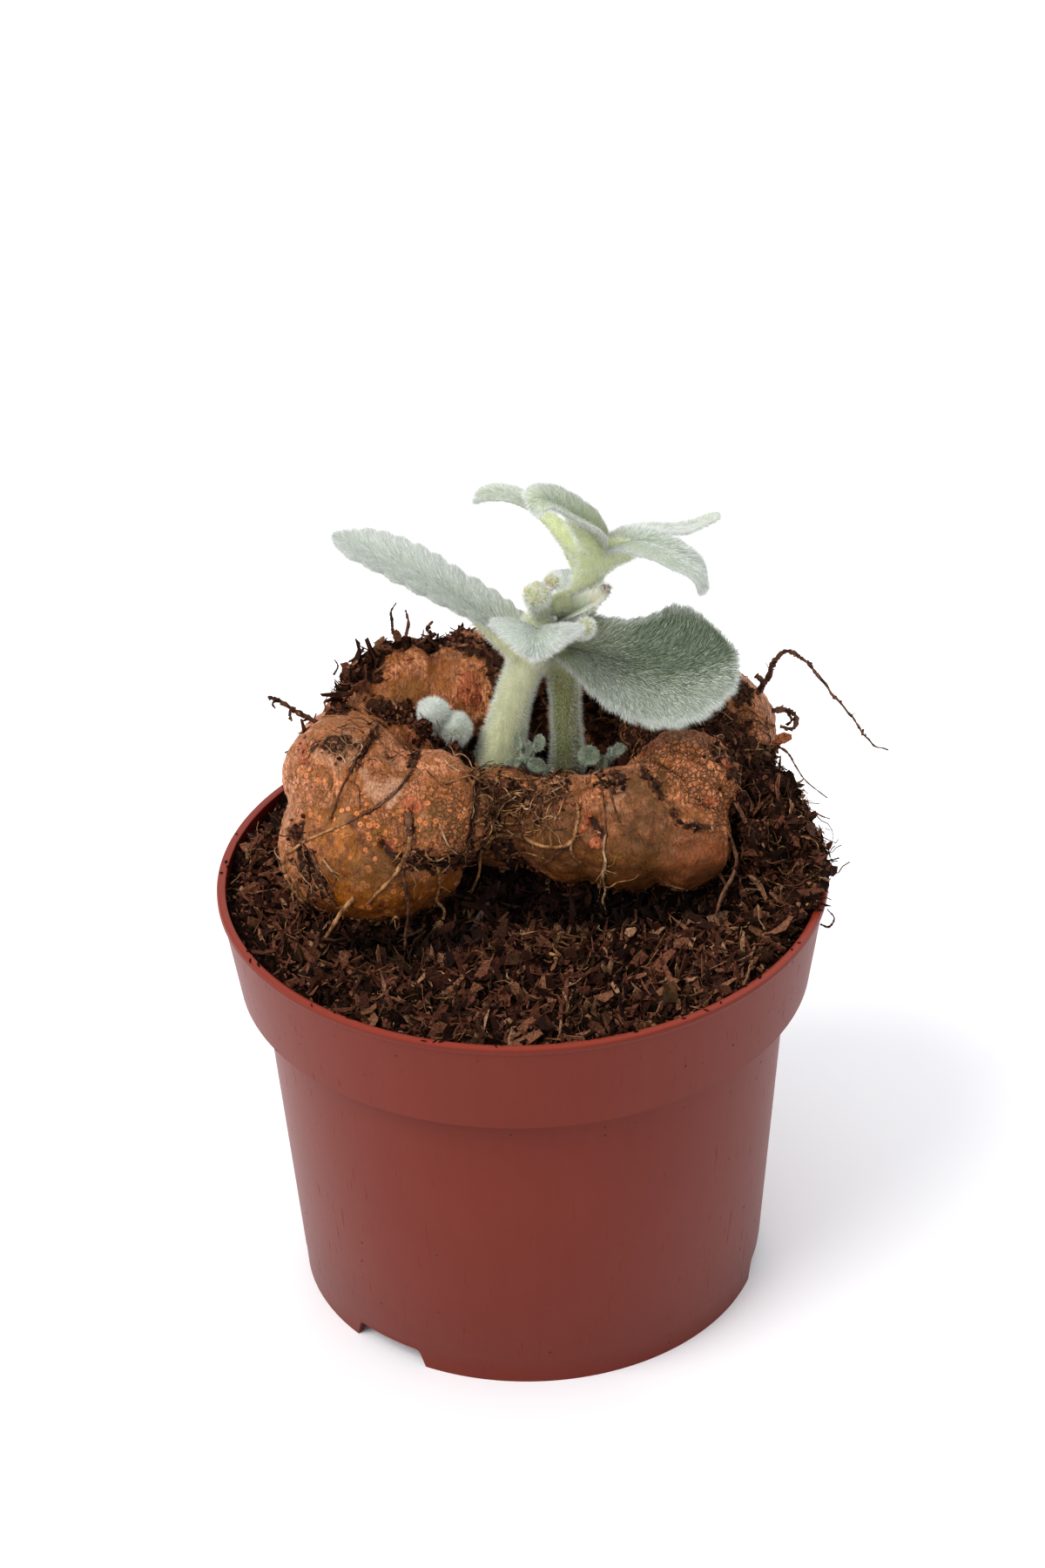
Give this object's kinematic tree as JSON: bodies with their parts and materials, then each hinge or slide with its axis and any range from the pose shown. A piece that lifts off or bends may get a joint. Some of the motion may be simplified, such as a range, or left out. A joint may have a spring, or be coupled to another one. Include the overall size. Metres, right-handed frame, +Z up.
{
  "type": "potted brazilian edelweiss",
  "caption": "Brazilian edelweiss in a round plant pot: a lobed bare tuber half sunk in dark soil, woolly pale stems, silvery furred leaves, flower buds and young shoots.",
  "frame": {"origin": "bottom centre of the whole plant's box, on the plane that the pot stands on; the pot's own axis is at x = -0.0067, y = 0, because one root reaches out past the rim at +X", "axes": "+Z up along the pot's axis and the tallest extent; -Y is the pictured side; +X is to the right in the picture"},
  "size_m": [0.1334, 0.12, 0.1687],
  "materials": {
    "terracotta_plastic": "satin moulded plastic, brick red, brighter orange-red along the rim",
    "peat_soil": "rough dark brown peat with chips and fibres",
    "tuber_skin": "papery orange-brown skin with soil in its creases",
    "silver_leaf": "grey-green under dense silvery fur",
    "pale_stem": "pale yellow-green with short white fur",
    "bud_green": "yellow-green buds with orange-brown florets",
    "woolly_white": "white wool over pale green"
  },
  "bodies": {
    "root": {"pot": "terracotta_plastic", "soil": "peat_soil", "tuber": "tuber_skin", "stem_left": "pale_stem", "stem_right": "pale_stem", "flower_buds_left": "bud_green", "flower_bud_right": "bud_green", "shoot_woolly": "woolly_white", "sucker_right": "silver_leaf", "sucker_middle": "silver_leaf", "leaf_left": "silver_leaf", "leaf_right": "silver_leaf", "leaf_front": "silver_leaf", "leaf_back": "silver_leaf", "leaf_small": "silver_leaf", "leaf_top_left": "silver_leaf", "leaf_top_front": "silver_leaf", "leaf_top_right": "silver_leaf", "leaf_top_back": "silver_leaf"}
  },
  "joints": []
}
